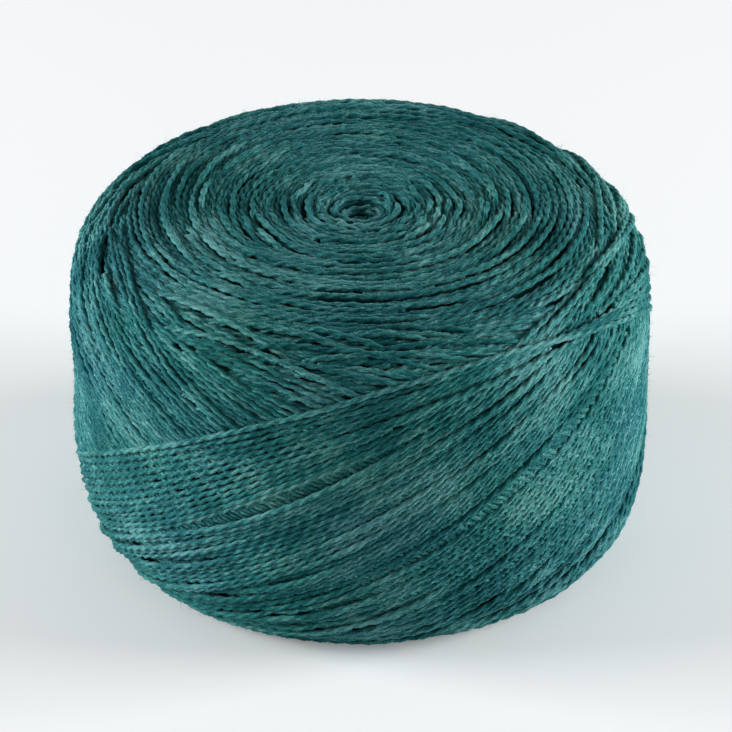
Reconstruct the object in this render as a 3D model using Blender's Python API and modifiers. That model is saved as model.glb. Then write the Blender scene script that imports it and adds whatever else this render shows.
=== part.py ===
"""Centre-pull yarn cake: a ball of plied yarn wound on a ball winder.

The yarn is one strand, so the solids are the stages in which it was wound.
Each stage is a thick turned ring around the one before it, from the core
around the centre-pull hole to the two tilted passes that cover the outside.
Metres, +Z up. The origin is on the axis, in the plane that the cake stands on.
"""

import math

import bpy

# Overall size of the cake
CAKE_RADIUS = 0.0500
CAKE_HEIGHT = 0.0615
WAIST_HEIGHT = 0.0317

# Rounding of the shoulder and of the foot: radial width, and how square it is
SHOULDER_WIDTH = 0.0380
SHOULDER_POWER = 4.9
FOOT_WIDTH = 0.0160
FOOT_POWER = 3.65

# Centre-pull hole and the hollow at its mouth
BORE_RADIUS = 0.0035
MOUTH_WIDTH = 0.0032
MOUTH_DEPTH = 0.0030

# Stages of the winding
CORE_WALL = 0.0058
PASS_WALL = 0.0030
PASS_REACH = 0.0137
CROSSING_LAND = 0.0030
MIDDLE_STAGES = ("first_winding", "second_winding", "third_winding", "fourth_winding")

# Tilted line where the last pass lies against the pass before it
SPLIT_HEIGHT = 0.0380
SPLIT_TILT = math.radians(20.0)

# Air left between pieces that touch
CLEARANCE = 0.0003

# Fineness of the turned shapes
TURN_STEPS = 64
CORNER_POINTS = 7
MOUTH_POINTS = 5
FACE_POINTS = 3
MERGE_DISTANCE = 0.00001

# Places that follow from the sizes above
CORE_RADIUS = BORE_RADIUS + CORE_WALL
PASS_EDGE_RADIUS = CAKE_RADIUS - PASS_REACH
CROSSING_FACE_RADIUS = PASS_EDGE_RADIUS - CLEARANCE
CROSSING_INNER_RADIUS = CROSSING_FACE_RADIUS - CROSSING_LAND


def clear_scene():
    """Remove whatever the open file holds."""
    for old in list(bpy.data.objects):
        bpy.data.objects.remove(old, do_unlink=True)


def make_collection(name):
    """Return a new collection linked to the scene."""
    collection = bpy.data.collections.new(name)
    bpy.context.scene.collection.children.link(collection)
    return collection


def yarn_material(name, colour):
    """Return a dull, soft Principled material of one colour."""
    material = bpy.data.materials.new(name)
    material.use_nodes = True
    shader = material.node_tree.nodes["Principled BSDF"]
    shader.inputs["Base Color"].default_value = (*colour, 1.0)
    shader.inputs["Roughness"].default_value = 0.9
    shader.inputs["Metallic"].default_value = 0.0
    material.diffuse_color = (*colour, 1.0)
    return material


def rounded_height(radius, inset, width, power, height):
    """Height above the waist of a rounded face at one radius.

    The face is flat near the axis and falls to the waist at the outside
    along a superellipse. An inset moves it inwards by that thickness.
    """
    flat_radius = CAKE_RADIUS - width
    share = max(0.0, (radius - flat_radius) / (width - inset))
    return (height - inset) * max(0.0, 1.0 - share**power) ** (1.0 / power)


def top_height(radius, inset=0.0):
    """Height of the top face, or of a surface that lies inset under it."""
    rise = CAKE_HEIGHT - WAIST_HEIGHT
    return WAIST_HEIGHT + rounded_height(radius, inset, SHOULDER_WIDTH, SHOULDER_POWER, rise)


def foot_height(radius, inset=0.0):
    """Height of the foot face, or of a surface that lies inset above it."""
    return WAIST_HEIGHT - rounded_height(radius, inset, FOOT_WIDTH, FOOT_POWER, WAIST_HEIGHT)


def corner_radii(edge_radius, inset, width, power):
    """Radii from the edge of a face out to the waist, close where it curves most."""
    flat_radius = CAKE_RADIUS - width
    reach = width - inset
    start = math.acos(((edge_radius - flat_radius) / reach) ** (power / 2.0))
    radii = []
    for index in range(CORNER_POINTS):
        angle = start * (1.0 - index / (CORNER_POINTS - 1))
        radii.append(flat_radius + reach * math.cos(angle) ** (2.0 / power))
    return radii


def side_outline(edge_radius, inset):
    """Points down the rounded outside, from the top face's edge to the foot's edge."""
    shoulder = corner_radii(edge_radius, inset, SHOULDER_WIDTH, SHOULDER_POWER)
    foot = corner_radii(edge_radius, inset, FOOT_WIDTH, FOOT_POWER)
    points = [(radius, top_height(radius, inset)) for radius in shoulder]
    points += [(radius, foot_height(radius, inset)) for radius in reversed(foot[:-1])]
    return points


def top_points(inner_radius, outer_radius):
    """Points outwards along the top face between two radii."""
    step = (outer_radius - inner_radius) / (FACE_POINTS - 1)
    radii = [inner_radius + step * index for index in range(FACE_POINTS)]
    return [(radius, top_height(radius)) for radius in radii]


def mouth_points():
    """Points out of the bore and over the rounded lip of the hollow at its mouth."""
    lip_radius = BORE_RADIUS + MOUTH_WIDTH
    points = []
    for index in range(MOUTH_POINTS):
        angle = 0.5 * math.pi * index / (MOUTH_POINTS - 1)
        radius = lip_radius - MOUTH_WIDTH * math.cos(angle)
        drop = MOUTH_DEPTH * (1.0 - math.sin(angle))
        points.append((radius, top_height(lip_radius) - drop))
    return points


def turned_object(name, outline, collection):
    """Return an object whose closed outline is turned once around Z.

    The outline runs outwards along the top, down the outer side, inwards
    along the foot and back up the bore.
    """
    mesh = bpy.data.meshes.new(name)
    count = len(outline)
    corners = [(radius, 0.0, height) for radius, height in outline]
    edges = [(index, (index + 1) % count) for index in range(count)]
    mesh.from_pydata(corners, edges, [])
    turned = bpy.data.objects.new(name, mesh)
    collection.objects.link(turned)
    screw = turned.modifiers.new("turn", "SCREW")
    screw.axis = "Z"
    screw.angle = 2.0 * math.pi
    screw.steps = TURN_STEPS
    screw.render_steps = TURN_STEPS
    screw.use_merge_vertices = True
    screw.merge_threshold = MERGE_DISTANCE
    screw.use_smooth_shade = True
    return turned


def core_winding(collection):
    """First turns of the yarn, around the open centre-pull hole."""
    outline = mouth_points()
    outline.append((CORE_RADIUS, top_height(CORE_RADIUS)))
    outline.append((CORE_RADIUS, 0.0))
    outline.append((BORE_RADIUS, 0.0))
    return turned_object("core_winding", outline, collection)


def middle_winding(name, index, collection):
    """One of the equal stages between the core and the crossing winding."""
    room = CROSSING_INNER_RADIUS - CORE_RADIUS
    pitch = room / len(MIDDLE_STAGES)
    inner_radius = CORE_RADIUS + pitch * index + CLEARANCE
    outer_radius = CORE_RADIUS + pitch * (index + 1)
    outline = top_points(inner_radius, outer_radius)
    outline.append((outer_radius, 0.0))
    outline.append((inner_radius, 0.0))
    return turned_object(name, outline, collection)


def crossing_winding(collection):
    """Stage under the outer passes; its ends show inside their edges."""
    inner_radius = CROSSING_INNER_RADIUS + CLEARANCE
    outline = top_points(inner_radius, CROSSING_FACE_RADIUS)
    outline += side_outline(CROSSING_FACE_RADIUS, PASS_WALL + CLEARANCE)
    outline.append((CROSSING_FACE_RADIUS, foot_height(CROSSING_FACE_RADIUS)))
    outline.append((inner_radius, foot_height(inner_radius)))
    return turned_object("crossing_winding", outline, collection)


def outer_pass(name, collection, cutter):
    """Shell over the outside, cut off along the tilted line of the last pass."""
    outline = side_outline(PASS_EDGE_RADIUS, 0.0)
    outline += reversed(side_outline(PASS_EDGE_RADIUS, PASS_WALL))
    shell = turned_object(name, outline, collection)
    cut = shell.modifiers.new("tilted_cut", "BOOLEAN")
    cut.operation = "DIFFERENCE"
    cut.solver = "EXACT"
    cut.object = cutter
    return shell


def tilted_cutter(name, side, collection):
    """Block whose face lies half a clearance past the tilted line, above it or below it."""
    size = 4.0 * CAKE_RADIUS
    bpy.ops.mesh.primitive_cube_add(size=size)
    cutter = bpy.context.object
    cutter.name = name
    for owner in list(cutter.users_collection):
        owner.objects.unlink(cutter)
    collection.objects.link(cutter)
    reach = side * (0.5 * size - 0.5 * CLEARANCE)
    normal_x = -math.sin(SPLIT_TILT)
    normal_z = math.cos(SPLIT_TILT)
    cutter.location = (reach * normal_x, 0.0, SPLIT_HEIGHT + reach * normal_z)
    cutter.rotation_euler = (0.0, -SPLIT_TILT, 0.0)
    cutter.hide_render = True
    cutter.display_type = "WIRE"
    return cutter


def build():
    """Make every stage of the cake with its own material."""
    clear_scene()
    cake = make_collection("yarn_cake")
    cutters = make_collection("cutters")
    above = tilted_cutter("above_split", 1.0, cutters)
    below = tilted_cutter("below_split", -1.0, cutters)
    parts = [core_winding(cake)]
    for index, name in enumerate(MIDDLE_STAGES):
        parts.append(middle_winding(name, index, cake))
    parts.append(crossing_winding(cake))
    parts.append(outer_pass("upper_pass", cake, below))
    parts.append(outer_pass("lower_pass", cake, above))
    for index, part in enumerate(parts):
        shade = 0.75 + 0.05 * index
        colour = (0.035 * shade, 0.150 * shade, 0.150 * shade)
        part.data.materials.append(yarn_material(part.name + "_yarn", colour))


build()
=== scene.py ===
"""Looks of a centre-pull yarn cake: one plied strand, wound turn over turn.

The cake is wound here the way a ball winder does it. Every turn of the strand
is a line over the cake's skin, given as a distance along the outline for each
angle around the axis. The turns are laid in order on a height map of the
skin, so each one rests on those under it, bridges their gaps and dives below
the turns that come later. What stays in sight is then made as real two-ply
yarn, with fibres standing off it.
"""

import logging
import math
from dataclasses import dataclass, field
from enum import Enum

import bpy
import numpy as np
from mathutils import Euler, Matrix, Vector


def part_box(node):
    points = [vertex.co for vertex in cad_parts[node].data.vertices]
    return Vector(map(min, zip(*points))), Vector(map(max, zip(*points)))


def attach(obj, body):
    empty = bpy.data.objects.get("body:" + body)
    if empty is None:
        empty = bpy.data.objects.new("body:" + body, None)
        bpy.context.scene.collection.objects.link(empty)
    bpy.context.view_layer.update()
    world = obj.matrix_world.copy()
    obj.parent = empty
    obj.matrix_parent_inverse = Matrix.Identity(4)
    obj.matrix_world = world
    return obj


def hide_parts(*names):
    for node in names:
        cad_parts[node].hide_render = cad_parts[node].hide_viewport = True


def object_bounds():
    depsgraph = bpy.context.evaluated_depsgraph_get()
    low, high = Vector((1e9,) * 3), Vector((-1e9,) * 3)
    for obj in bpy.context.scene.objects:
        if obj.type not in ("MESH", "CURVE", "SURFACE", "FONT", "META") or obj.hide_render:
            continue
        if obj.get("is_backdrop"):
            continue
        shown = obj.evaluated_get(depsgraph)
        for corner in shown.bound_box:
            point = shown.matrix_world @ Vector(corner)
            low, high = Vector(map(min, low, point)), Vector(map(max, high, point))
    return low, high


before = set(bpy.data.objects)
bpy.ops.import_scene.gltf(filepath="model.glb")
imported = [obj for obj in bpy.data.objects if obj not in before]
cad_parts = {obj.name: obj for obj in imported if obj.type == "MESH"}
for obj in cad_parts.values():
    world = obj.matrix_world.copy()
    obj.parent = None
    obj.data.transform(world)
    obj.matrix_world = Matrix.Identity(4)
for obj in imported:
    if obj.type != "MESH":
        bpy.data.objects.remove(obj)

log = logging.getLogger("yarn_cake")

MM = 0.001
ANGLE_COUNT = 900
PHASE_RANGE = 6.28
ROW_PITCH = 0.3 * MM
BAKE_UV = "OFBake"
RING_NODES = ("core_winding", "first_winding", "second_winding", "third_winding", "fourth_winding")
ANGLES = np.arange(ANGLE_COUNT) * (2.0 * math.pi / ANGLE_COUNT) - math.pi
ANGLE_STEP = 2.0 * math.pi / ANGLE_COUNT


class Face(Enum):
    """End of the cake on which a ring of turns shows."""

    TOP = 1
    FOOT = -1


def smooth_around(values: np.ndarray, spread: float) -> np.ndarray:
    """Soften a closed row of values with a bell curve, by its Fourier terms.

    Args:
        values: One value for each angle around the cake, in the last axis.
        spread: Standard deviation of the bell curve, in angle steps.

    Returns:
        The softened values.
    """
    terms = np.fft.rfft(values, axis=-1)
    rate = 2.0 * math.pi * np.arange(terms.shape[-1]) / values.shape[-1]
    return np.fft.irfft(terms * np.exp(-0.5 * (rate * spread) ** 2), values.shape[-1], axis=-1)


def highest_around(values: np.ndarray, reach: int) -> np.ndarray:
    """Return the highest value within a reach on both sides of each angle."""
    return np.max([np.roll(values, shift) for shift in range(-reach, reach + 1)], axis=0)


def wrapped(angle: np.ndarray) -> np.ndarray:
    """Bring angles into the range from minus pi to pi."""
    return (angle + math.pi) % (2.0 * math.pi) - math.pi


def unit(vectors: np.ndarray) -> np.ndarray:
    """Bring vectors, held in the last axis, to a length of one."""
    return vectors / np.linalg.norm(vectors, axis=-1, keepdims=True)


def bell(distance: np.ndarray, spread: float) -> np.ndarray:
    """Bell curve, one at no distance: e to minus half the square of distance over spread."""
    return np.exp(-0.5 * (distance / spread) ** 2)


def around_axis(radial: np.ndarray, upward: np.ndarray, around: np.ndarray) -> np.ndarray:
    """Rows of x, y, z from a part away from the axis, a part upwards and an angle, 0 at the front."""
    return np.stack([radial * np.sin(around), -radial * np.cos(around), upward], axis=-1)


def wander(rng: np.random.Generator, size: float, waves: int) -> np.ndarray:
    """Random closed row: a sum of sine waves whose size falls with their number.

    Args:
        rng: Source of the draws.
        size: Typical size of the whole sum.
        waves: How many waves are summed.

    Returns:
        One value for each angle.
    """
    number = np.arange(1, waves + 1)
    phase = rng.uniform(0.0, 2.0 * math.pi, waves)
    weight = rng.normal(0.0, 1.0, waves) / np.sqrt(number)
    rows = weight[:, None] * np.sin(number[:, None] * ANGLES + phase[:, None])
    return size * rows.sum(axis=0) / math.sqrt(np.sum(1.0 / number))


@dataclass
class Outline:
    """Half section of the cake, followed by its length from the waist.

    The distance is 0 at the waist, grows upwards over the shoulder, along the
    top face and down into the hole, and falls the same way over the foot.
    """

    radius: float
    height: float
    waist: float = 31.7 * MM
    shoulder_width: float = 38.0 * MM
    shoulder_power: float = 4.9
    foot_width: float = 16.0 * MM
    foot_power: float = 3.65
    bore_radius: float = 1.8 * MM
    mouth_width: float = 9.0 * MM
    mouth_depth: float = 3.8 * MM
    hole_depth: float = 10.0 * MM
    samples: int = 400
    along: np.ndarray = field(init=False)
    radii: np.ndarray = field(init=False)
    heights: np.ndarray = field(init=False)
    out_radial: np.ndarray = field(init=False)
    out_upward: np.ndarray = field(init=False)

    def __post_init__(self) -> None:
        """Work out the whole outline once, as arrays."""
        top = self.end_points(Face.TOP)
        foot = self.end_points(Face.FOOT)
        line = np.concatenate([foot[::-1], top[1:]])
        steps = np.hypot(*np.diff(line, axis=0).T)
        length = np.concatenate([[0.0], np.cumsum(steps)])
        self.along = length - length[len(foot) - 1]
        self.radii, self.heights = line.T
        slope_radius = np.gradient(self.radii, self.along)
        slope_height = np.gradient(self.heights, self.along)
        scale = np.hypot(slope_radius, slope_height)
        self.out_radial = slope_height / scale
        self.out_upward = -slope_radius / scale

    def end_points(self, face: Face) -> np.ndarray:
        """Points from the waist over one face and into the hole.

        The corner is a superellipse: the share of the way out and the share of
        the way up, each to a power, add to one. The lip of the hole is a
        quarter of an ellipse, and the hole is straight.

        Args:
            face: The end to follow.

        Returns:
            Rows of radius and height.
        """
        top = face is Face.TOP
        width = self.shoulder_width if top else self.foot_width
        power = self.shoulder_power if top else self.foot_power
        rise = self.height - self.waist if top else self.waist
        turn = np.linspace(0.0, 0.5 * math.pi, self.samples)
        corner_radius = self.radius - width * (1.0 - np.cos(turn) ** (2.0 / power))
        corner_height = rise * np.sin(turn) ** (2.0 / power)
        lip_radius = self.bore_radius + self.mouth_width
        quarter = np.linspace(0.5 * math.pi, 0.0, self.samples // 8)
        lip = lip_radius - self.mouth_width * np.cos(quarter)
        sunk = rise - self.mouth_depth * (1.0 - np.sin(quarter))
        radius = np.concatenate([corner_radius, lip, [self.bore_radius]])
        height = np.concatenate([corner_height, sunk, [rise - self.hole_depth]])
        return np.stack([radius, self.waist + face.value * height], axis=1)

    def place(self, along: np.ndarray, around: np.ndarray, proud: np.ndarray) -> np.ndarray:
        """Points in space, from places on the skin.

        Args:
            along: Distance along the outline.
            around: Angle around the axis, 0 at the front.
            proud: Height off the skin, along its normal.

        Returns:
            One row of x, y, z for each place.
        """
        radial = self.radius_at(along) + proud * np.interp(along, self.along, self.out_radial)
        upward = np.interp(along, self.along, self.heights)
        upward = upward + proud * np.interp(along, self.along, self.out_upward)
        return around_axis(radial, upward, around)

    def normal_at(self, along: np.ndarray, around: np.ndarray) -> np.ndarray:
        """Outward normals of the skin.

        Args:
            along: Distance along the outline.
            around: Angle around the axis, 0 at the front.

        Returns:
            One row of x, y, z for each place.
        """
        radial = np.interp(along, self.along, self.out_radial)
        upward = np.interp(along, self.along, self.out_upward)
        return around_axis(radial, upward, around)

    def radius_at(self, along: np.ndarray) -> np.ndarray:
        """Radius of the skin at distances along the outline."""
        return np.interp(along, self.along, self.radii)

    def along_face(self, radius: np.ndarray, face: Face) -> np.ndarray:
        """Distance along the outline at which one face reaches a radius.

        Args:
            radius: Radii to look up.
            face: The end on which they lie.

        Returns:
            One distance for each radius.
        """
        keep = self.along * face.value >= 0.0
        order = np.argsort(self.radii[keep], kind="stable")
        return np.interp(radius, self.radii[keep][order], self.along[keep][order])


@dataclass
class Turns:
    """A family of turns in the order of winding, one row for each turn.

    A row holds one value for each angle: the turn's distance along the
    outline, whether it is there, how deep it dives, and then, once it is
    laid, the height where it rests and whether it is in sight.
    """

    path: np.ndarray
    shown: np.ndarray
    node: list[str]
    sink: "np.ndarray | None" = None
    rest: np.ndarray = field(init=False)
    seen: np.ndarray = field(init=False)
    laid: int = 0

    def __post_init__(self) -> None:
        """Set aside room for what the bed works out."""
        self.rest = np.zeros_like(self.path)
        self.seen = np.zeros(self.path.shape, dtype=bool)


@dataclass
class WindingBed:
    """Height map of the skin on which the turns are laid, one over the other."""

    outline: Outline
    thickness: float = 1.02 * MM
    squash: float = 0.84
    give: float = 0.22
    bridge: int = 4
    tension: float = 4.0
    block: int = 14
    half_cells: int = 6
    free_height: float = 0.25 * MM
    calming: float = 0.8
    sight_depth: float = 0.06 * MM
    level_along: float = 2.4 * MM
    level_around: float = 8.0
    fine_along: float = 1.3 * MM
    fine_around: float = 5.0
    height: np.ndarray = field(init=False)
    first: float = field(init=False)

    def __post_init__(self) -> None:
        """Start with a bare skin."""
        self.first = float(self.outline.along[0])
        rows = int((self.outline.along[-1] - self.first) / ROW_PITCH) + 1
        self.height = np.zeros((rows, ANGLE_COUNT))

    def footprint(self, path: np.ndarray) -> tuple[np.ndarray, np.ndarray]:
        """Cells under one turn, and how high its round section stands over each.

        The section is a flattened circle: its height over a cell is the square
        root of the radius squared less the distance squared, where the
        distance is taken square to the strand.

        Args:
            path: Distance along the outline at each angle.

        Returns:
            Row numbers and section heights, one row for each angle; the
            section is below 0 outside the strand.
        """
        radius = 0.5 * self.thickness
        slope = (np.roll(path, -1) - np.roll(path, 1)) / (2.0 * ANGLE_STEP)
        reach = self.outline.radius_at(path)
        square = reach / np.hypot(reach, slope)
        offsets = np.arange(-self.half_cells, self.half_cells + 1)
        rows = np.rint((path - self.first) / ROW_PITCH).astype(int)[:, None] + offsets
        rows = np.clip(rows, 0, len(self.height) - 1)
        away = (rows * ROW_PITCH + self.first - path[:, None]) * square[:, None]
        section = np.where(np.abs(away) < radius, radius**2 - away**2, -1.0)
        return rows, np.where(section > 0.0, np.sqrt(np.abs(section)) * self.squash, -1.0)

    def lay(self, families: list[Turns]) -> None:
        """Lay families of turns, each turn at the height where it rests.

        A turn rests on the highest cell under it, less the give of the wool,
        and its own tension softens the line from one support to the next.
        After every few turns the cake is levelled, because a winder spreads
        its turns so evenly that the cake keeps its form as it grows.

        Args:
            families: Families of turns, oldest first.
        """
        columns = np.arange(ANGLE_COUNT)[:, None]
        for place, turns in enumerate(families):
            for number, path in enumerate(turns.path):
                rows, section = self.footprint(path)
                under = self.height[rows, columns] + section
                support = np.where(section > 0.0, under, -1.0).max(axis=1)
                support -= self.give * self.thickness
                rest = smooth_around(highest_around(support, self.bridge), self.tension)
                if turns.sink is not None:
                    rest = rest - turns.sink[number]
                turns.rest[number] = rest
                covers = (section > 0.0) & turns.shown[number][:, None]
                new = np.where(covers, rest[:, None] + section, -1.0)
                np.maximum.at(self.height, (rows, np.broadcast_to(columns, rows.shape)), new)
                turns.laid = number + 1
                if number % self.block == self.block - 1:
                    self.settle(families[: place + 1], self.level_along, self.level_around)
        self.settle(families, self.level_along, self.level_around)
        self.settle(families, self.fine_along, self.fine_around)
        self.pull_in(families)

    def settle(self, families: list[Turns], along: float, around: float) -> None:
        """Take the smooth level out of the map, and out of every turn laid so far.

        Args:
            families: The families of turns, some of them laid only in part.
            along: Spread of the bell curve that softens the map along the outline.
            around: Spread of the bell curve around the cake, in angle steps.
        """
        cells = np.arange(len(self.height)) * ROW_PITCH
        weight = bell(cells[:, None] - cells, along)
        level = smooth_around(weight @ self.height / weight.sum(axis=1, keepdims=True), around)
        self.height -= level
        for turns in families:
            turns.rest[: turns.laid] -= self.sample(level, turns.path[: turns.laid])

    def pull_in(self, families: list[Turns]) -> None:
        """Flatten what stands far out or lies deep, in the map and in the turns alike.

        Args:
            families: All families of turns.
        """
        self.height = self.tame(self.height)
        for turns in families:
            turns.rest = self.tame(turns.rest)

    def tame(self, height: np.ndarray) -> np.ndarray:
        """Keep small heights as they are and let larger ones grow at a fifth of the rate."""
        over = np.maximum(np.abs(height) - self.free_height, 0.0)
        return height - np.sign(height) * over * self.calming

    def sample(self, level: np.ndarray, path: np.ndarray) -> np.ndarray:
        """Values of a map of the skin under whole turns, between its rows.

        Args:
            level: The map, one row for each step along the outline.
            path: Distance along the outline at each angle, a row for each turn.

        Returns:
            Values of the same shape as the paths.
        """
        rows = (path - self.first) / ROW_PITCH
        low = np.clip(rows.astype(int), 0, len(level) - 2)
        share = np.clip(rows - low, 0.0, 1.0)
        columns = np.arange(ANGLE_COUNT)
        return level[low, columns] * (1.0 - share) + level[low + 1, columns] * share

    def look(self, turns: Turns, margin: float = 2.2 * MM) -> None:
        """Mark where each turn is in sight, and a margin past it on both sides.

        Args:
            turns: The family, which takes up the result.
            margin: Length of strand kept past the last place in sight.
        """
        columns = np.arange(ANGLE_COUNT)[:, None]
        for number, path in enumerate(turns.path):
            rows, section = self.footprint(path)
            top = turns.rest[number][:, None] + section
            seen = (section > 0.0) & (top >= self.height[rows, columns] - self.sight_depth)
            seen = (seen.sum(axis=1) >= 2) & turns.shown[number]
            radius = self.outline.radius_at(path).mean()
            reach = int(np.clip(margin / (radius * ANGLE_STEP), 5, 60))
            spread = np.convolve(np.tile(seen, 3), np.ones(2 * reach + 1), "same")
            grown = spread[ANGLE_COUNT : 2 * ANGLE_COUNT] > 0.5
            turns.seen[number] = grown & turns.shown[number]


@dataclass
class Slit:
    """A place where neighbouring turns spread and show those below."""

    order: float
    angle: float
    half_length: float
    opening: float
    fade: float

    def push(self, order: float) -> np.ndarray:
        """Sideways push on a turn, at each angle.

        Args:
            order: The turn's own place in its family.

        Returns:
            Push towards growing order: half the opening at the slit, fading
            as a bell curve along the turn and away from the slit.
        """
        side = math.copysign(1.0, order - self.order)
        away = abs(order - self.order) / self.fade
        near = wrapped(ANGLES - self.angle) / self.half_length
        return side * 0.5 * self.opening * math.exp(-away) * np.exp(-(near**2))


def drifting(rng: np.random.Generator, count: int, size: float, jump: float = 0.12) -> np.ndarray:
    """Random values that change slowly from turn to turn, with a little jump at each.

    Args:
        rng: Source of the draws.
        count: How many turns there are.
        size: Typical size of a value.
        jump: Size of the change at each turn, as a share of the size.

    Returns:
        One value for each turn.
    """
    spread = 4.0
    reach = round(3.0 * spread)
    weight = bell(np.arange(-reach, reach + 1), spread)
    draws = rng.normal(0.0, 1.0, count + 2 * reach)
    slow = np.convolve(draws, weight / np.sqrt(np.sum(weight**2)), "valid")[:count]
    return size * (slow + jump * rng.normal(0.0, 1.0, count))


@dataclass
class TiltedPasses:
    """Turns over the side: each lies in a tilted plane, high on one side.

    The distance along the outline is a middle value plus a reach times the
    cosine of the angle from the turn's crest. Each older turn has its crest a
    step further around, and the newest ones stand further apart. Turns come
    in ribbons: within one, the crests and valleys shift a little from turn to
    turn, down on the newer half of a cycle and up on the older half, and a
    bell shape around crest and valley fades that shift out to the sides.
    """

    lower_share: float = 0.40
    last_phase: float = math.radians(30.0)
    step: float = math.radians(2.45)
    newest_step: float = math.radians(3.8)
    newest_count: float = 11.0
    cycles: float = 2.0
    reach: float = 29.5 * MM
    ribbon: int = 9
    crest_width: float = 6.0 * MM
    valley_width: float = 6.0 * MM
    sharpness: float = 8.0
    unevenness: float = 0.10 * MM
    waves: int = 14
    crest_drift: float = 0.7 * MM
    valley_drift: float = 0.5 * MM
    phase_drift: float = 0.25
    even_count: float = 10.0
    middle_age: tuple[float, ...] = (0.0, 43.0, 99.0, 160.0, 227.0, 284.0, 360.0, 460.0, 620.0, 720.0)
    middle: tuple[float, ...] = (-4.7, 0.3, 4.3, 1.5, -4.2, -8.0, -4.0, 3.0, -4.0, -2.0)
    slits: tuple[Slit, ...] = (
        Slit(math.radians(73.0), math.radians(-16.0), math.radians(19.0), 2.6 * MM, math.radians(12.0)),
        Slit(math.radians(129.0), math.radians(39.0), math.radians(22.0), 2.7 * MM, math.radians(12.0)),
        Slit(math.radians(219.0), math.radians(-62.0), math.radians(16.0), 1.5 * MM, math.radians(9.0)),
        Slit(math.radians(262.0), math.radians(-34.0), math.radians(18.0), 1.3 * MM, math.radians(9.0)),
        Slit(math.radians(250.0), math.radians(165.0), math.radians(18.0), 1.6 * MM, math.radians(12.0)),
    )

    def wind(self, rng: np.random.Generator) -> Turns:
        """Work out all turns over the side.

        Args:
            rng: Source of the draws.

        Returns:
            The turns, oldest first.
        """
        count = int(self.cycles * 2.0 * math.pi / self.step)
        order = np.arange(count)[::-1]
        extra = (self.newest_step - self.step) * self.newest_count
        age = self.step * order + extra * np.tanh(order / self.newest_count)
        strength = np.clip(order / self.even_count, 0.0, 1.0)
        in_ribbon = (order % self.ribbon) / self.ribbon
        lean = np.where(age % (2.0 * math.pi) < math.pi, -1.0, 1.0)
        crest_drift = drifting(rng, count, self.crest_drift, 1.0) * strength
        valley_drift = drifting(rng, count, self.valley_drift, 1.0) * strength
        crest_shift = self.crest_width * in_ribbon * lean + crest_drift
        valley_shift = self.valley_width * in_ribbon * lean + valley_drift
        phase = self.last_phase + age + drifting(rng, count, self.phase_drift * self.step) * strength
        middle = MM * np.interp(np.degrees(age), self.middle_age, self.middle)
        angle = wrapped(ANGLES[None, :] - phase[:, None])
        path = middle[:, None] + self.reach * np.cos(angle)
        path += crest_shift[:, None] * (0.5 + 0.5 * np.cos(angle)) ** self.sharpness
        path += valley_shift[:, None] * (0.5 - 0.5 * np.cos(angle)) ** self.sharpness
        for number in range(count):
            path[number] += wander(rng, self.unevenness, self.waves)
            for slit in self.slits:
                path[number] -= slit.push(float(phase[number]))
        node = [self.node_for(float(value / (2.0 * math.pi))) for value in age]
        return Turns(path, np.ones(path.shape, dtype=bool), node)

    def node_for(self, share: float) -> str:
        """CAD node that a turn belongs to.

        Args:
            share: Age of the turn, in whole cycles of the crest.

        Returns:
            Name of the node.
        """
        if share < self.lower_share:
            return "lower_pass"
        return "upper_pass" if share < 1.0 else "crossing_winding"


@dataclass
class FaceRings:
    """Turns over one end: rings that lie a little to one side of the axis.

    A ring's radius is its mean radius plus the part of its offset that points
    along each angle. The offset drifts from ring to ring, and jumps a little
    between bundles of rings, so that bundles part and cross at small angles.
    Some rings end: there the strand dives below its neighbours.
    """

    outline: Outline
    face: Face
    least: float = 8.2 * MM
    most: float = 45.0 * MM
    growth: float = 0.74 * MM
    offset: float = 0.8 * MM
    bundle: int = 6
    bundle_jump: float = 0.40 * MM
    full_offset_radius: float = 16.0 * MM
    least_room: float = 0.3
    jump: float = 0.32
    unevenness: float = 0.32 * MM
    waves: int = 10
    kink: float = 0.06 * MM
    kinks_per_mm: float = 0.9
    half_angles: tuple[float, float] = (1.9, 4.2)
    dive: float = 1.5 * MM
    dive_length: float = 2.2 * MM
    slits: tuple[Slit, ...] = ()

    def wind(self, rng: np.random.Generator) -> Turns:
        """Work out the rings of this face.

        Args:
            rng: Source of the draws.

        Returns:
            The rings, inner ones first.
        """
        count = int((self.most - self.least) / self.growth)
        mean = self.least + self.growth * np.arange(count)
        bundles = np.arange(count) // self.bundle
        room = np.clip(mean / self.full_offset_radius, self.least_room, 1.0)
        east, north = (room * (drifting(rng, count, self.offset, self.jump)
                               + rng.normal(0.0, self.bundle_jump, count)[bundles]) for _ in range(2))
        radius = mean[:, None] + east[:, None] * np.sin(ANGLES) + north[:, None] * np.cos(ANGLES)
        for number in range(count):
            radius[number] += wander(rng, self.unevenness, self.waves)
            kinks = int(mean[number] / MM * self.kinks_per_mm)
            size = self.kink * rng.normal(0.0, 1.0)
            radius[number] += size * np.sin(ANGLES * kinks + rng.uniform(0.0, PHASE_RANGE))
            for slit in self.slits:
                radius[number] += slit.push(float(mean[number]))
        half = rng.uniform(*self.half_angles, count)
        angle = wrapped(ANGLES[None, :] - rng.uniform(-math.pi, math.pi, count)[:, None])
        shown = np.abs(angle) < half[:, None]
        to_end = np.where(half[:, None] < math.pi, (half[:, None] - np.abs(angle)) * mean[:, None], 1.0)
        sink = self.dive * bell(to_end, self.dive_length)
        node = [self.node_for(float(value)) for value in mean]
        return Turns(self.outline.along_face(radius, self.face), shown, node, sink)

    @staticmethod
    def node_for(radius: float) -> str:
        """CAD node whose ring holds a radius.

        Args:
            radius: Mean radius of a turn.

        Returns:
            Name of the node.
        """
        for name in RING_NODES:
            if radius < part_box(name)[1][0]:
                return name
        return "crossing_winding"


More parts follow.
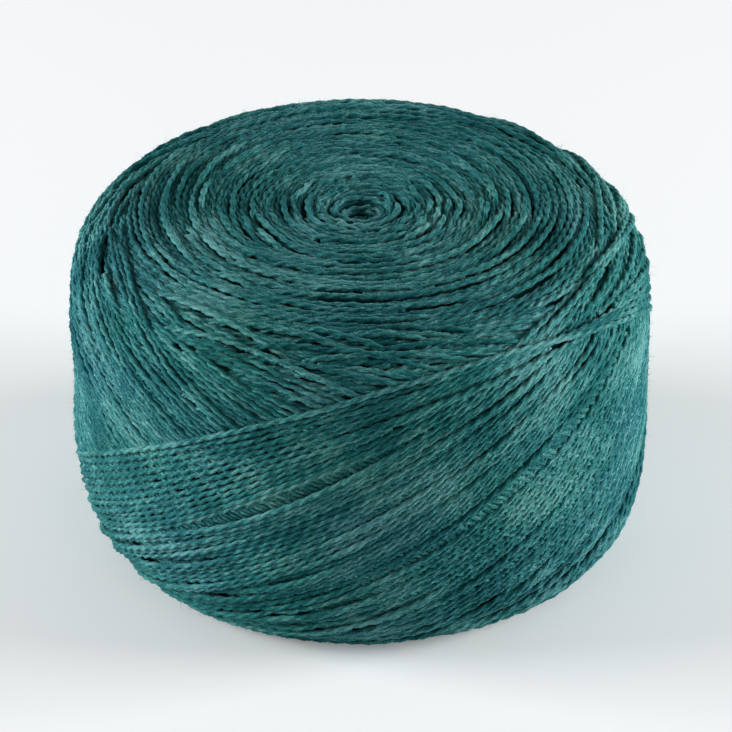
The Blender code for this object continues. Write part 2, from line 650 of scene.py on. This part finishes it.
@dataclass
class HoleTurns:
    """Turns that line the hollow at the mouth of the hole, down into the dark."""

    outline: Outline
    face: Face
    pitch: float = 0.62 * MM
    depth: float = 7.0 * MM
    tilt: float = 0.5 * MM
    lip_radius: float = 8.0 * MM
    past_lip: float = 4.0 * MM
    unevenness: float = 0.15 * MM
    waves: int = 6
    edge_rows: int = 4

    def wind(self, rng: np.random.Generator) -> Turns:
        """Work out the turns of the hole.

        Args:
            rng: Source of the draws.

        Returns:
            Turns from deep in the hole out to its lip.
        """
        lip = float(self.outline.along_face(np.array([self.lip_radius]), self.face)[0])
        count = int((self.depth + self.past_lip) / self.pitch)
        depth = self.pitch * np.arange(count)[::-1]
        phase = rng.uniform(0.0, 2.0 * math.pi, count)
        swing = self.tilt * np.cos(ANGLES[None, :] - phase[:, None])
        path = lip + self.face.value * (depth[:, None] + swing)
        for row in path:
            row += wander(rng, self.unevenness, self.waves)
        edge = ROW_PITCH * self.edge_rows
        path = np.clip(path, self.outline.along[0] + edge, self.outline.along[-1] - edge)
        return Turns(path, np.ones(path.shape, dtype=bool), ["core_winding"] * count)


@dataclass
class Stretch:
    """One unbroken run of yarn in sight: its middle line and what frames it."""

    points: np.ndarray
    normals: np.ndarray
    length: np.ndarray
    tone: float
    start_twist: float


@dataclass
class PliedYarn:
    """Two-ply yarn: a waisted section that turns as it goes along.

    The section is given at equal angles around the strand by its radius, from
    the crown of one ply over the groove to the crown of the other. It turns
    once in each lay length, to the left as it goes, which is an S twist.
    """

    thickness: float = 1.18 * MM
    lay_length: float = 5.6 * MM
    ring_step: float = 0.63 * MM
    least_angles: int = 6
    least_rings: int = 4
    pattern_range: float = 10.0
    tone_count: int = 8
    tone_drift: float = 0.5
    table: float = 0.0
    press: float = 0.15 * MM
    section: tuple[float, ...] = (1.0, 0.82, 0.54, 0.82, 1.0, 0.82, 0.54, 0.82)
    corner_angles: tuple[float, ...] = (0.0, 48.0, 90.0, 132.0, 180.0, 228.0, 270.0, 312.0)

    def stretches(self, bed: WindingBed, turns: Turns, rng: np.random.Generator) -> dict[str, list[Stretch]]:
        """Cut a family of turns into the runs that are in sight.

        Args:
            bed: The bed on which the turns were laid.
            turns: The family.
            rng: Source of the draws for twist and tone.

        Returns:
            Runs of yarn, by the CAD node they belong to.
        """
        runs: dict[str, list[Stretch]] = {}
        for number, seen in enumerate(turns.seen):
            if not seen.any():
                continue
            proud = turns.rest[number]
            for start, stop in self.run_ends(seen):
                columns = np.arange(start, stop) % ANGLE_COUNT
                if len(columns) < self.least_angles:
                    continue
                around = ANGLES[0] + ANGLE_STEP * np.arange(start, stop)
                stretch = self.resample(bed.outline, turns.path[number][columns], around, proud[columns], rng)
                runs.setdefault(turns.node[number], []).append(stretch)
        return runs

    @staticmethod
    def run_ends(seen: np.ndarray) -> list[tuple[int, int]]:
        """Find the runs of true values around the circle.

        Args:
            seen: One value for each angle.

        Returns:
            First angle number of each run, and the one after its last.
        """
        if seen.all():
            return [(0, len(seen) + 1)]
        first = int(np.argmin(seen))
        line = np.roll(seen, -first)
        change = np.flatnonzero(np.diff(np.concatenate([[False], line, [False]]).astype(int)))
        return [(int(a) + first, int(b) + first) for a, b in zip(change[::2], change[1::2])]

    def resample(self, outline: Outline, along: np.ndarray, around: np.ndarray,
                 proud: np.ndarray, rng: np.random.Generator) -> Stretch:
        """Space the rings of one run evenly along its length.

        Args:
            outline: The skin.
            along: Distance along the outline at each angle of the run.
            around: The angles.
            proud: Height off the skin at each angle.
            rng: Source of the draws for twist and tone.

        Returns:
            The run of yarn.
        """
        rough = outline.place(along, around, proud)
        gaps = np.linalg.norm(np.diff(rough, axis=0), axis=1)
        length = np.concatenate([[0.0], np.cumsum(gaps)])
        count = max(self.least_rings, int(length[-1] / self.ring_step))
        even = np.linspace(0.0, length[-1], count)
        along, around, proud = (np.interp(even, length, row) for row in (along, around, proud))
        points = outline.place(along, around, proud)
        tone = float(rng.normal())
        start_twist = float(rng.uniform(0.0, PHASE_RANGE))
        return Stretch(points, outline.normal_at(along, around), even, tone, start_twist)

    def mesh(self, name: str, runs: list[Stretch], rng: np.random.Generator) -> bpy.types.Object:
        """Make one mesh from runs of yarn, with the section carried along each.

        A ring's corners lie at the middle plus the section's radius times the
        cosine of its angle along the sideways direction and its sine along
        the normal; the angle grows with the length, which gives the twist.

        Args:
            name: Name of the object.
            runs: The runs of yarn.
            rng: Source of the draws.

        Returns:
            The object, linked to the scene.
        """
        sides = len(self.section)
        angle = np.radians(self.corner_angles)
        corners, fibres, grooves, tones = [], [], [], []
        for run in runs:
            tangent = unit(np.gradient(run.points, axis=0))
            sideways = unit(np.cross(tangent, run.normals))
            normal = np.cross(sideways, tangent)
            turn = run.start_twist + 2.0 * math.pi * run.length / self.lay_length
            turned = angle[None, :] + turn[:, None]
            radius = 0.5 * self.thickness * np.array(self.section)
            across = (radius * np.cos(turned))[..., None] * sideways[:, None, :]
            upward = (radius * np.sin(turned))[..., None] * normal[:, None, :]
            corners.append((run.points[:, None, :] + across + upward).reshape(-1, 3))
            offset = rng.uniform(0.0, self.pattern_range)
            fibre = np.stack([np.broadcast_to((run.length + offset)[:, None], turned.shape),
                              radius * np.cos(turned), radius * np.sin(turned)], axis=-1)
            fibres.append(fibre.reshape(-1, 3))
            groove = (1.0 - np.array(self.section)) / (1.0 - min(self.section))
            grooves.append(np.tile(groove, len(turn)))
            marks = np.linspace(0.0, run.length[-1], self.tone_count)
            slow = np.interp(run.length, marks, rng.normal(0.0, self.tone_drift, self.tone_count))
            tones.append(np.repeat(run.tone + slow, sides))
        rings = np.array([len(run.points) for run in runs])
        quads, caps, grid = tube_faces(rings, sides)
        corner = np.concatenate(corners)
        corner[:, 2] = self.table + np.logaddexp(0.0, (corner[:, 2] - self.table) / self.press) * self.press
        obj = mesh_object(name, corner, quads, caps)
        lay_out_uv(obj.data, grid, sides, len(caps))
        add_attribute(obj.data, "fibre", "FLOAT_VECTOR", np.concatenate(fibres))
        add_attribute(obj.data, "groove", "FLOAT", np.concatenate(grooves))
        add_attribute(obj.data, "tone", "FLOAT", np.concatenate(tones))
        return obj


def tube_faces(rings: np.ndarray, sides: int) -> tuple[np.ndarray, np.ndarray, np.ndarray]:
    """Faces of closed tubes whose corners follow each other ring by ring.

    Args:
        rings: Number of rings in each tube.
        sides: Corners in a ring.

    Returns:
        Four-sided faces, end faces, and for each four-sided face its ring
        number and side number.
    """
    first_ring = np.concatenate([[0], np.cumsum(rings)])
    whole = np.arange(first_ring[-1])
    inner = np.setdiff1d(whole, first_ring[1:] - 1, assume_unique=True)
    side = np.arange(sides)
    after = (side + 1) % sides
    low, high = inner[:, None] * sides, (inner[:, None] + 1) * sides
    quads = np.stack([low + side, high + side, high + after, low + after], axis=-1).reshape(-1, 4)
    starts = first_ring[:-1, None] * sides + side
    ends = (first_ring[1:, None] - 1) * sides + side[::-1]
    grid = np.stack([np.repeat(np.arange(len(inner)), sides), np.tile(side, len(inner))], axis=1)
    return quads, np.concatenate([starts, ends]), grid


def mesh_object(name: str, corners: np.ndarray, faces: np.ndarray, caps: np.ndarray) -> bpy.types.Object:
    """Put computed corners and faces into a smooth mesh object.

    Args:
        name: Name of the object and its mesh.
        corners: One row of x, y, z for each corner.
        faces: Corner numbers of the faces that share one size.
        caps: Corner numbers of the end faces, or an empty array.

    Returns:
        The object, linked to the scene.
    """
    mesh = bpy.data.meshes.new(name)
    sizes = np.concatenate([np.full(len(faces), faces.shape[1]),
                            np.full(len(caps), caps.shape[1] if len(caps) else 0)]).astype(np.int32)
    loops = np.concatenate([faces.ravel(), caps.ravel()]).astype(np.int32)
    mesh.vertices.add(len(corners))
    mesh.vertices.foreach_set("co", corners.astype(np.float32).ravel())
    mesh.loops.add(len(loops))
    mesh.loops.foreach_set("vertex_index", loops)
    mesh.polygons.add(len(sizes))
    starts = np.concatenate([[0], np.cumsum(sizes)[:-1]]).astype(np.int32)
    mesh.polygons.foreach_set("loop_start", starts)
    mesh.update(calc_edges=True)
    mesh.shade_smooth()
    obj = bpy.data.objects.new(name, mesh)
    bpy.context.scene.collection.objects.link(obj)
    return obj


def add_attribute(mesh: bpy.types.Mesh, name: str, kind: str, values: np.ndarray) -> None:
    """Store one value for each corner under a name that the materials read.

    Args:
        mesh: The mesh.
        name: Name of the attribute.
        kind: Its kind, a number or a vector.
        values: One value or row for each corner.
    """
    layer = mesh.attributes.new(name, kind, "POINT")
    key = "vector" if kind == "FLOAT_VECTOR" else "value"
    layer.data.foreach_set(key, values.astype(np.float32).ravel())


def lay_out_uv(mesh: bpy.types.Mesh, grid: np.ndarray, sides: int, cap_count: int) -> None:
    """Lay the tubes' faces side by side in rows that fill the square.

    Half a side is left free above each row, and a quarter of a row at the top.

    Args:
        mesh: The mesh.
        grid: Ring number and side number of each four-sided face.
        sides: Corners in a ring.
        cap_count: Number of end faces, which share a small corner.
    """
    rings = int(grid[:, 0].max()) + 1
    rows = max(1, round(math.sqrt(rings / sides)))
    per_row = math.ceil(rings / rows)
    ring, side = grid[:, 0], grid[:, 1]
    row = ring // per_row
    left = (ring % per_row) / per_row
    side_room, row_room = sides + 0.5, rows + 0.25
    low = (row + side / side_room) / row_room
    wide, tall = 1.0 / per_row, 1.0 / side_room / row_room
    across = np.stack([left, left + wide, left + wide, left], axis=1)
    up = np.stack([low, low, low + tall, low + tall], axis=1)
    quad_uv = np.stack([across, up], axis=-1).reshape(-1, 2)
    turn = np.arange(sides) * (2.0 * math.pi / sides)
    cap_middle, cap_radius = 0.998, 0.001
    cap = cap_middle + cap_radius * np.stack([np.cos(turn), np.sin(turn)], axis=1)
    values = np.concatenate([quad_uv, np.tile(cap, (cap_count, 1))])
    layer = mesh.uv_layers.new(name=BAKE_UV)
    layer.data.foreach_set("uv", values.astype(np.float32).ravel())


@dataclass
class Fuzz:
    """Loose fibres that stand off the yarn, each a thin tapering curl."""

    count: int = 13500
    thickness: float = 0.055 * MM
    taper: float = 0.75
    joints: int = 3
    sides: int = 3
    reach_shape: float = 2.4
    reach_scale: float = 0.24 * MM
    longest: float = 1.5 * MM
    sideways_lean: float = 0.7
    rise: tuple[float, float] = (0.15, 1.0)
    curl: float = 0.4
    root_height: float = 0.45 * MM
    table_gap: float = 0.1 * MM

    def mesh(self, name: str, runs: list[Stretch], rng: np.random.Generator) -> bpy.types.Object:
        """Make fibres rooted on runs of yarn.

        A fibre's line is its root, plus its reach along a direction, plus a
        bend that grows with the square of the share of the way along it, so
        it springs up and then curls over.

        Args:
            name: Name of the object.
            runs: The runs of yarn that carry the fibres.
            rng: Source of the draws.

        Returns:
            The object, linked to the scene.
        """
        points = np.concatenate([run.points for run in runs])
        normals = np.concatenate([run.normals for run in runs])
        tangents = unit(np.concatenate([np.gradient(run.points, axis=0) for run in runs]))
        pick = rng.integers(0, len(points), self.count)
        normal, tangent = normals[pick], tangents[pick]
        sideways = np.cross(tangent, normal)
        reach = rng.gamma(self.reach_shape, self.reach_scale, self.count)
        reach = np.minimum(reach, self.longest)[:, None]
        lean = rng.normal(0.0, 1.0, (self.count, 1)) * tangent
        lean = lean + rng.normal(0.0, self.sideways_lean, (self.count, 1)) * sideways
        way = unit(lean + rng.uniform(*self.rise, (self.count, 1)) * normal)
        curl = rng.normal(0.0, self.curl, (self.count, 3)) * reach
        share = np.linspace(0.0, 1.0, self.joints)[None, :, None]
        root = points[pick] + self.root_height * normal
        line = root[:, None, :] + share * (reach * way)[:, None, :] + share**2 * curl[:, None, :]
        thick = self.thickness * (1.0 - self.taper * share)
        along = np.gradient(line, axis=1)
        side_one = unit(np.cross(along, normal[:, None, :] + 0.01))
        side_two = unit(np.cross(side_one, along))
        turn = np.arange(self.sides) * (2.0 * math.pi / self.sides)
        line[..., 2] = np.maximum(line[..., 2], self.table_gap)
        ring = np.cos(turn)[:, None] * side_one[:, :, None, :]
        ring = ring - np.sin(turn)[:, None] * side_two[:, :, None, :]
        corners = line[:, :, None, :] + 0.5 * thick[..., None] * ring
        quads, caps, grid = tube_faces(np.full(self.count, self.joints), self.sides)
        obj = mesh_object(name, corners.reshape(-1, 3), quads, caps)
        lay_out_uv(obj.data, grid, self.sides, len(caps))
        tone = np.repeat(rng.normal(0.0, 1.0, self.count), self.joints * self.sides)
        add_attribute(obj.data, "tone", "FLOAT", tone)
        return obj


@dataclass
class NodeBench:
    """A new node material, whose nodes are added and linked in single steps."""

    name: str
    material: bpy.types.Material = field(init=False)
    tree: bpy.types.NodeTree = field(init=False)
    shader: bpy.types.Node = field(init=False)

    def __post_init__(self) -> None:
        """Make the material with its main shader."""
        self.material = bpy.data.materials.new(self.name)
        self.material.use_nodes = True
        self.tree = self.material.node_tree
        self.shader = self.tree.nodes["Principled BSDF"]

    def feed(self, node: bpy.types.Node, inputs: dict) -> None:
        """Link sockets to a node's inputs, or set the inputs' values.

        Args:
            node: The node.
            inputs: A socket or a value for the name or number of each input.
        """
        for key, value in inputs.items():
            if isinstance(value, bpy.types.NodeSocket):
                self.tree.links.new(value, node.inputs[key])
            else:
                node.inputs[key].default_value = value

    def add(self, kind: str, output: "str | int", inputs: dict, **settings: str) -> bpy.types.NodeSocket:
        """Add a node and feed it.

        Args:
            kind: Kind of node.
            output: Name or number of the output that is wanted.
            inputs: A socket or a value for the name or number of each input.
            settings: The node's own properties.

        Returns:
            Socket of the output.
        """
        node = self.tree.nodes.new(kind)
        for key, value in settings.items():
            setattr(node, key, value)
        self.feed(node, inputs)
        return node.outputs[output]

    def reckon(self, operation: str, *terms: "bpy.types.NodeSocket | float") -> bpy.types.NodeSocket:
        """One arithmetic step on two or three sockets and numbers."""
        return self.add("ShaderNodeMath", "Value", dict(enumerate(terms)), operation=operation)

    def swing(self, value: bpy.types.NodeSocket, size: float, middle: float = 0.0) -> bpy.types.NodeSocket:
        """Scale a value that swings about one half, and have it swing about another middle."""
        return self.reckon("MULTIPLY_ADD", value, size, middle - 0.5 * size)

    def read(self, name: str, output: str) -> bpy.types.NodeSocket:
        """Read a stored attribute."""
        return self.add("ShaderNodeAttribute", output, {}, attribute_name=name)

    def noise(self, place: bpy.types.NodeSocket, waves: tuple[float, float, float],
              detail: float) -> bpy.types.NodeSocket:
        """Noise about one half, with so many waves per metre in each direction."""
        scaled = self.add("ShaderNodeMapping", "Vector", {"Vector": place, "Scale": waves})
        return self.add("ShaderNodeTexNoise", "Fac", {"Vector": scaled, "Scale": 1.0, "Detail": detail})


@dataclass(frozen=True)
class WoolFinish:
    """Heathered wool: three tones of one dye, mixed by fibre, strand and patch."""

    name: str
    deep: tuple[float, float, float] = (0.001, 0.095, 0.105)
    middle: tuple[float, float, float] = (0.020, 0.200, 0.205)
    light: tuple[float, float, float] = (0.150, 0.420, 0.410)
    deep_at: float = 0.16
    middle_at: float = 0.50
    light_at: float = 0.86
    roughness: float = 0.82
    specular: float = 0.12
    sheen: float = 0.15
    sheen_roughness: float = 0.45
    sheen_tint: tuple[float, float, float, float] = (0.55, 0.85, 0.82, 1.0)
    patch_waves: tuple[float, float, float] = (70.0, 70.0, 90.0)
    patch_swing: float = 1.1
    tone_share: float = 0.085
    streak_waves: tuple[float, float, float] = (900.0, 5200.0, 5200.0)
    streak_swing: float = 1.6
    slub_waves: tuple[float, float, float] = (220.0, 700.0, 700.0)
    slub_swing: float = 0.8
    hue_waves: tuple[float, float, float] = (38.0, 38.0, 60.0)
    hue_swing: float = 0.07
    fibre_height: float = 0.12 * MM
    bump_strength: float = 0.6
    groove_share: float = 0.4
    groove_tone: float = 0.4

    def material(self, has_fibre: bool = True) -> bpy.types.Material:
        """Build the node material.

        The patches, the strand's own tone and, on real yarn, the streaks of
        its fibres are added up and looked up on a ramp of the three tones.
        The hue then swings a little from place to place.

        Args:
            has_fibre: Whether the piece carries the strand's own coordinates.

        Returns:
            The material.
        """
        bench = NodeBench(self.name)
        bench.feed(bench.shader, {"Roughness": self.roughness, "Specular IOR Level": self.specular,
                                  "Sheen Weight": self.sheen, "Sheen Roughness": self.sheen_roughness,
                                  "Sheen Tint": self.sheen_tint})
        place = bench.add("ShaderNodeTexCoord", "Object", {})
        patch = bench.swing(bench.noise(place, self.patch_waves, 2.0), self.patch_swing, 0.5)
        tone = bench.reckon("MULTIPLY", bench.read("tone", "Fac"), self.tone_share)
        mix = bench.reckon("ADD", tone, patch)
        if has_fibre:
            mix = bench.reckon("ADD", mix, self.fibres(bench))
        colour = bench.add("ShaderNodeValToRGB", "Color", {"Fac": mix})
        ramp = colour.node.color_ramp.elements
        ramp[0].position = self.deep_at
        ramp[0].color = (*self.deep, 1.0)
        ramp[1].position = self.light_at
        ramp[1].color = (*self.light, 1.0)
        ramp.new(self.middle_at).color = (*self.middle, 1.0)
        hue = bench.swing(bench.noise(place, self.hue_waves, 1.0), self.hue_swing, 0.5)
        colour = bench.add("ShaderNodeHueSaturation", "Color", {"Hue": hue, "Color": colour})
        if has_fibre:
            colour = self.shade_grooves(bench, colour)
        bench.feed(bench.shader, {"Base Color": colour})
        return bench.material

    def fibres(self, bench: NodeBench) -> bpy.types.NodeSocket:
        """Streak the strand along its fibres, and raise the streaks a little.

        Args:
            bench: The material that is being made.

        Returns:
            Socket with the streaks' part of the tone.
        """
        along = bench.read("fibre", "Vector")
        streak = bench.noise(along, self.streak_waves, 3.0)
        slub = bench.noise(along, self.slub_waves, 1.0)
        normal = bench.add("ShaderNodeBump", "Normal", {"Strength": self.bump_strength,
                                                        "Distance": self.fibre_height, "Height": streak})
        bench.feed(bench.shader, {"Normal": normal})
        return bench.reckon("ADD", bench.swing(streak, self.streak_swing), bench.swing(slub, self.slub_swing))

    def shade_grooves(self, bench: NodeBench, colour: bpy.types.NodeSocket) -> bpy.types.NodeSocket:
        """Darken the groove between the plies, where little light gets in.

        Args:
            bench: The material that is being made.
            colour: Socket with the colour so far.

        Returns:
            Socket with the shaded colour.
        """
        share = bench.reckon("MULTIPLY", bench.read("groove", "Fac"), self.groove_share)
        dark = (*(self.groove_tone * value for value in self.deep), 1.0)
        inputs = {0: share, 6: colour, 7: dark}
        return bench.add("ShaderNodeMix", 2, inputs, data_type="RGBA", blend_type="MIX")


@dataclass
class YarnCake:
    """The whole cake: its turns, its inner bodies and its fuzz."""

    outline: Outline
    seed: int = 11
    body_depth: float = 1.7 * MM
    body_steps: int = 96
    core_inset: float = 0.4
    ring_gap: float = 0.3 * MM
    skin_points: int = 60
    ring_points: int = 5
    face_limit: int = 190000
    under_growth: float = 0.9 * MM
    yarn: PliedYarn = field(default_factory=PliedYarn)
    runs: dict[str, list[Stretch]] = field(default_factory=dict)
    top_slits: tuple[Slit, ...] = (
        Slit(20.2 * MM, math.radians(-57.8), math.radians(13.0), 1.6 * MM, 2.5 * MM),
        Slit(20.7 * MM, math.radians(-156.0), math.radians(13.0), 1.3 * MM, 2.5 * MM),
        Slit(24.5 * MM, math.radians(124.9), math.radians(10.0), 1.4 * MM, 2.5 * MM),
        Slit(16.2 * MM, math.radians(86.6), math.radians(14.0), 1.4 * MM, 2.5 * MM),
    )

    def wind(self) -> None:
        """Lay every turn of the strand and keep what is in sight."""
        rng = np.random.default_rng(self.seed)
        bed = WindingBed(self.outline)
        families = []
        for face in Face:
            families.append(FaceRings(self.outline, face, growth=self.under_growth).wind(rng))
            families.append(HoleTurns(self.outline, face).wind(rng))
            slits = self.top_slits if face is Face.TOP else ()
            families.append(FaceRings(self.outline, face, slits=slits).wind(rng))
        families.append(TiltedPasses().wind(rng))
        bed.lay(families)
        for turns in families:
            bed.look(turns)
            for node, found in self.yarn.stretches(bed, turns, rng).items():
                self.runs.setdefault(node, []).extend(found)
            log.info("turns %d, height map up to %.1f mm", len(turns.path), bed.height.max() / MM)

    def pieces(self) -> None:
        """Make the yarn of every CAD node, in meshes of a moderate size."""
        rng = np.random.default_rng(self.seed + 1)
        sides = len(self.yarn.section)
        finish = WoolFinish("teal_wool").material()
        for node, runs in self.runs.items():
            faces = np.cumsum([2 * sides * len(run.points) for run in runs])
            part_count = int(faces[-1] // self.face_limit) + 1
            part = np.minimum((faces * part_count // (faces[-1] + 1)).astype(int), part_count - 1)
            for number in range(part_count):
                chosen = [run for run, owner in zip(runs, part) if owner == number]
                obj = self.yarn.mesh(f"{node}_yarn_{number + 1}", chosen, rng)
                self.register(obj, node, finish)
                log.info("    %d runs, %.1f m of yarn", len(chosen), sum(run.length[-1] for run in chosen))

    def bodies(self) -> None:
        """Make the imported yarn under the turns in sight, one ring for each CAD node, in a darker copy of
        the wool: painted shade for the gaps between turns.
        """
        # Same dye as the yarn in sight but darker throughout: painted shade, for yarn seen only down the gaps
        # between turns.
        finish = WoolFinish("packed_wool_painted_shade", deep=(0.001, 0.06, 0.07), middle=(0.003, 0.10, 0.11),
                            light=(0.012, 0.15, 0.15), sheen=0.05).material(has_fibre=False)
        for node in (*RING_NODES, "crossing_winding"):
            self.register(self.body(node), node, finish)

    def body(self, node: str) -> bpy.types.Object:
        """Turn one ring of packed yarn around the axis.

        Its outline runs along the skin, sunk by the body's depth, between the
        node's inner and outer radius, and straight up and down between the
        faces.

        Args:
            node: CAD node that the ring stands for.

        Returns:
            The object, linked to the scene.
        """
        outer = float(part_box(node)[1][0])
        place = RING_NODES.index(node) if node in RING_NODES else len(RING_NODES)
        inner = self.outline.bore_radius + self.body_depth * self.core_inset
        if place:
            inner = float(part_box(RING_NODES[place - 1])[1][0]) + self.ring_gap
        line = self.sunk_skin(inner, outer, whole=node not in RING_NODES)
        steps = self.body_steps
        turn = np.arange(steps) * (2.0 * math.pi / steps)
        radius, height = (np.broadcast_to(row, (steps, len(line))) for row in line.T)
        corners = around_axis(radius, height, turn[:, None]).reshape(-1, 3)
        count = len(line)
        column, row = np.meshgrid(np.arange(steps), np.arange(count), indexing="ij")
        here, right = column * count, ((column + 1) % steps) * count
        down = (row + 1) % count
        quads = np.stack([here + row, here + down, right + down, right + row], axis=-1).reshape(-1, 4)
        return mesh_object(f"{node}_body", corners, quads, np.empty((0, 4), dtype=int))

    def sunk_skin(self, inner: float, outer: float, whole: bool) -> np.ndarray:
        """Closed outline of one ring, from the top outwards and back at the foot.

        Args:
            inner: Least radius of the ring.
            outer: Greatest radius, for a ring that doesn't reach the side.
            whole: Whether the ring reaches the side.

        Returns:
            Rows of radius and height.
        """
        skin = self.outline
        sunk_radius = skin.radii - self.body_depth * skin.out_radial
        sunk_height = skin.heights - self.body_depth * skin.out_upward
        if whole:
            keep = sunk_radius >= inner
            line = np.stack([sunk_radius[keep], sunk_height[keep]], axis=1)[::-1]
            picked = np.unique(np.linspace(0, len(line) - 1, self.skin_points).astype(int))
            return line[picked]
        radii = np.linspace(inner, outer, self.ring_points)
        top = np.interp(skin.along_face(radii, Face.TOP), skin.along, sunk_height)
        foot = np.interp(skin.along_face(radii, Face.FOOT), skin.along, sunk_height)
        return np.concatenate([np.stack([radii, top], axis=1), np.stack([radii, foot], axis=1)[::-1]])

    def fuzz(self) -> None:
        """Add loose fibres over the outer passes and over the faces."""
        rng = np.random.default_rng(self.seed + 2)
        finish = WoolFinish("loose_fibre", sheen=0.2).material(has_fibre=False)
        passes = ("upper_pass", "lower_pass")
        outer = [run for node in passes for run in self.runs[node]]
        faces = [run for node, runs in self.runs.items() if node not in passes for run in runs]
        self.register(Fuzz().mesh("side_fuzz", outer, rng), "lower_pass", finish)
        self.register(Fuzz().mesh("face_fuzz", faces, rng), "crossing_winding", finish)

    @staticmethod
    def register(obj: bpy.types.Object, node: str, finish: bpy.types.Material) -> None:
        """Dress a piece, hang it on the root body, and hide the CAD node that it stands for.

        Args:
            obj: The piece.
            node: The CAD node.
            finish: Its material.
        """
        obj.data.materials.append(finish)
        log.info("%s: %d faces, for %s", obj.name, len(obj.data.polygons), node)
        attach(obj, "root")
        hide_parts(node)


@dataclass
class Studio:
    """White table, soft lamps at both sides, and the camera."""

    floor_height: float
    elevation: float = math.radians(31.0)
    distance: float = 0.75
    aim: tuple[float, float, float] = (0.9 * MM, 0.0, 29.5 * MM)
    focal_length: float = 210.2
    sensor: float = 36.0
    lamp_place: tuple[float, float, float] = (0.95, 0.02, 0.26)
    lamp_size: float = 0.5
    side_power: float = 11.5
    world_strength: float = 0.25
    glow: float = 0.17
    glow_colour: tuple[float, float, float, float] = (0.97, 0.99, 1.0, 1.0)
    table_half: float = 3.0
    table_colour: tuple[float, float, float, float] = (0.92, 0.94, 0.95, 1.0)

    def table(self) -> None:
        """Lay a large white floor under the cake, which glows a little where it is seen directly."""
        signs = np.array([[-1.0, -1.0], [1.0, -1.0], [1.0, 1.0], [-1.0, 1.0]])
        corners = np.column_stack([signs * self.table_half, np.full(4, self.floor_height)])
        floor = mesh_object("table_top", corners, np.array([[0, 1, 2, 3]]), np.empty((0, 4), dtype=int))
        bench = NodeBench("white_table")
        bench.feed(bench.shader, {"Base Color": self.table_colour, "Roughness": 0.9,
                                  "Specular IOR Level": 0.1})
        in_view = bench.add("ShaderNodeLightPath", "Is Camera Ray", {})
        strength = bench.reckon("MULTIPLY", in_view, self.glow)
        glow = bench.add("ShaderNodeEmission", "Emission", {"Color": self.glow_colour, "Strength": strength})
        both = bench.add("ShaderNodeAddShader", "Shader", {0: bench.shader.outputs["BSDF"], 1: glow})
        bench.feed(bench.tree.nodes["Material Output"], {"Surface": both})
        floor.data.materials.append(bench.material)
        floor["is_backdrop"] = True

    def lamps(self) -> None:
        """Set one soft lamp at each side, and a pale sky."""
        across, back, high = self.lamp_place
        for name, place in (("left_softbox", (-across, back, high)), ("right_softbox", (across, back, high))):
            light = bpy.data.lights.new(name, "AREA")
            light.shape = "SQUARE"
            light.size = self.lamp_size
            light.energy = self.side_power
            lamp = bpy.data.objects.new(name, light)
            lamp.location = place
            lamp.rotation_euler = self.facing(place)
            bpy.context.scene.collection.objects.link(lamp)
        world = bpy.data.worlds.new("pale_sky")
        world.use_nodes = True
        sky = world.node_tree.nodes["Background"]
        sky.inputs["Color"].default_value = (1.0, 1.0, 1.0, 1.0)
        sky.inputs["Strength"].default_value = self.world_strength
        bpy.context.scene.world = world

    def facing(self, place: tuple[float, float, float]) -> Euler:
        """Turn that points an object at a place towards the middle of the cake."""
        return (Vector(self.aim) - Vector(place)).to_track_quat("-Z", "Y").to_euler()

    def camera(self) -> None:
        """Set the camera in front of the cake, looking down at it."""
        data = bpy.data.cameras.new("camera")
        data.lens = self.focal_length
        data.sensor_width = self.sensor
        data.clip_start = 0.05
        data.clip_end = 20.0
        camera = bpy.data.objects.new("camera", data)
        place = (self.aim[0], self.aim[1] - self.distance * math.cos(self.elevation),
                 self.aim[2] + self.distance * math.sin(self.elevation))
        camera.location = place
        camera.rotation_euler = self.facing(place)
        bpy.context.scene.collection.objects.link(camera)
        bpy.context.scene.camera = camera


def main() -> None:
    """Build the cake and its setting, in order."""
    logging.basicConfig(level=logging.INFO, format="%(message)s")
    low, high = (np.array(corner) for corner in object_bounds())
    outline = Outline(radius=0.5 * float(high[0] - low[0]), height=float(high[2] - low[2]))
    studio = Studio(floor_height=float(low[2]))
    studio.camera()
    cake = YarnCake(outline)
    cake.wind()
    cake.pieces()
    cake.bodies()
    cake.fuzz()
    studio.table()
    studio.lamps()
    bpy.context.scene.view_settings.view_transform = "Standard"


if __name__ == "__main__":
    main()
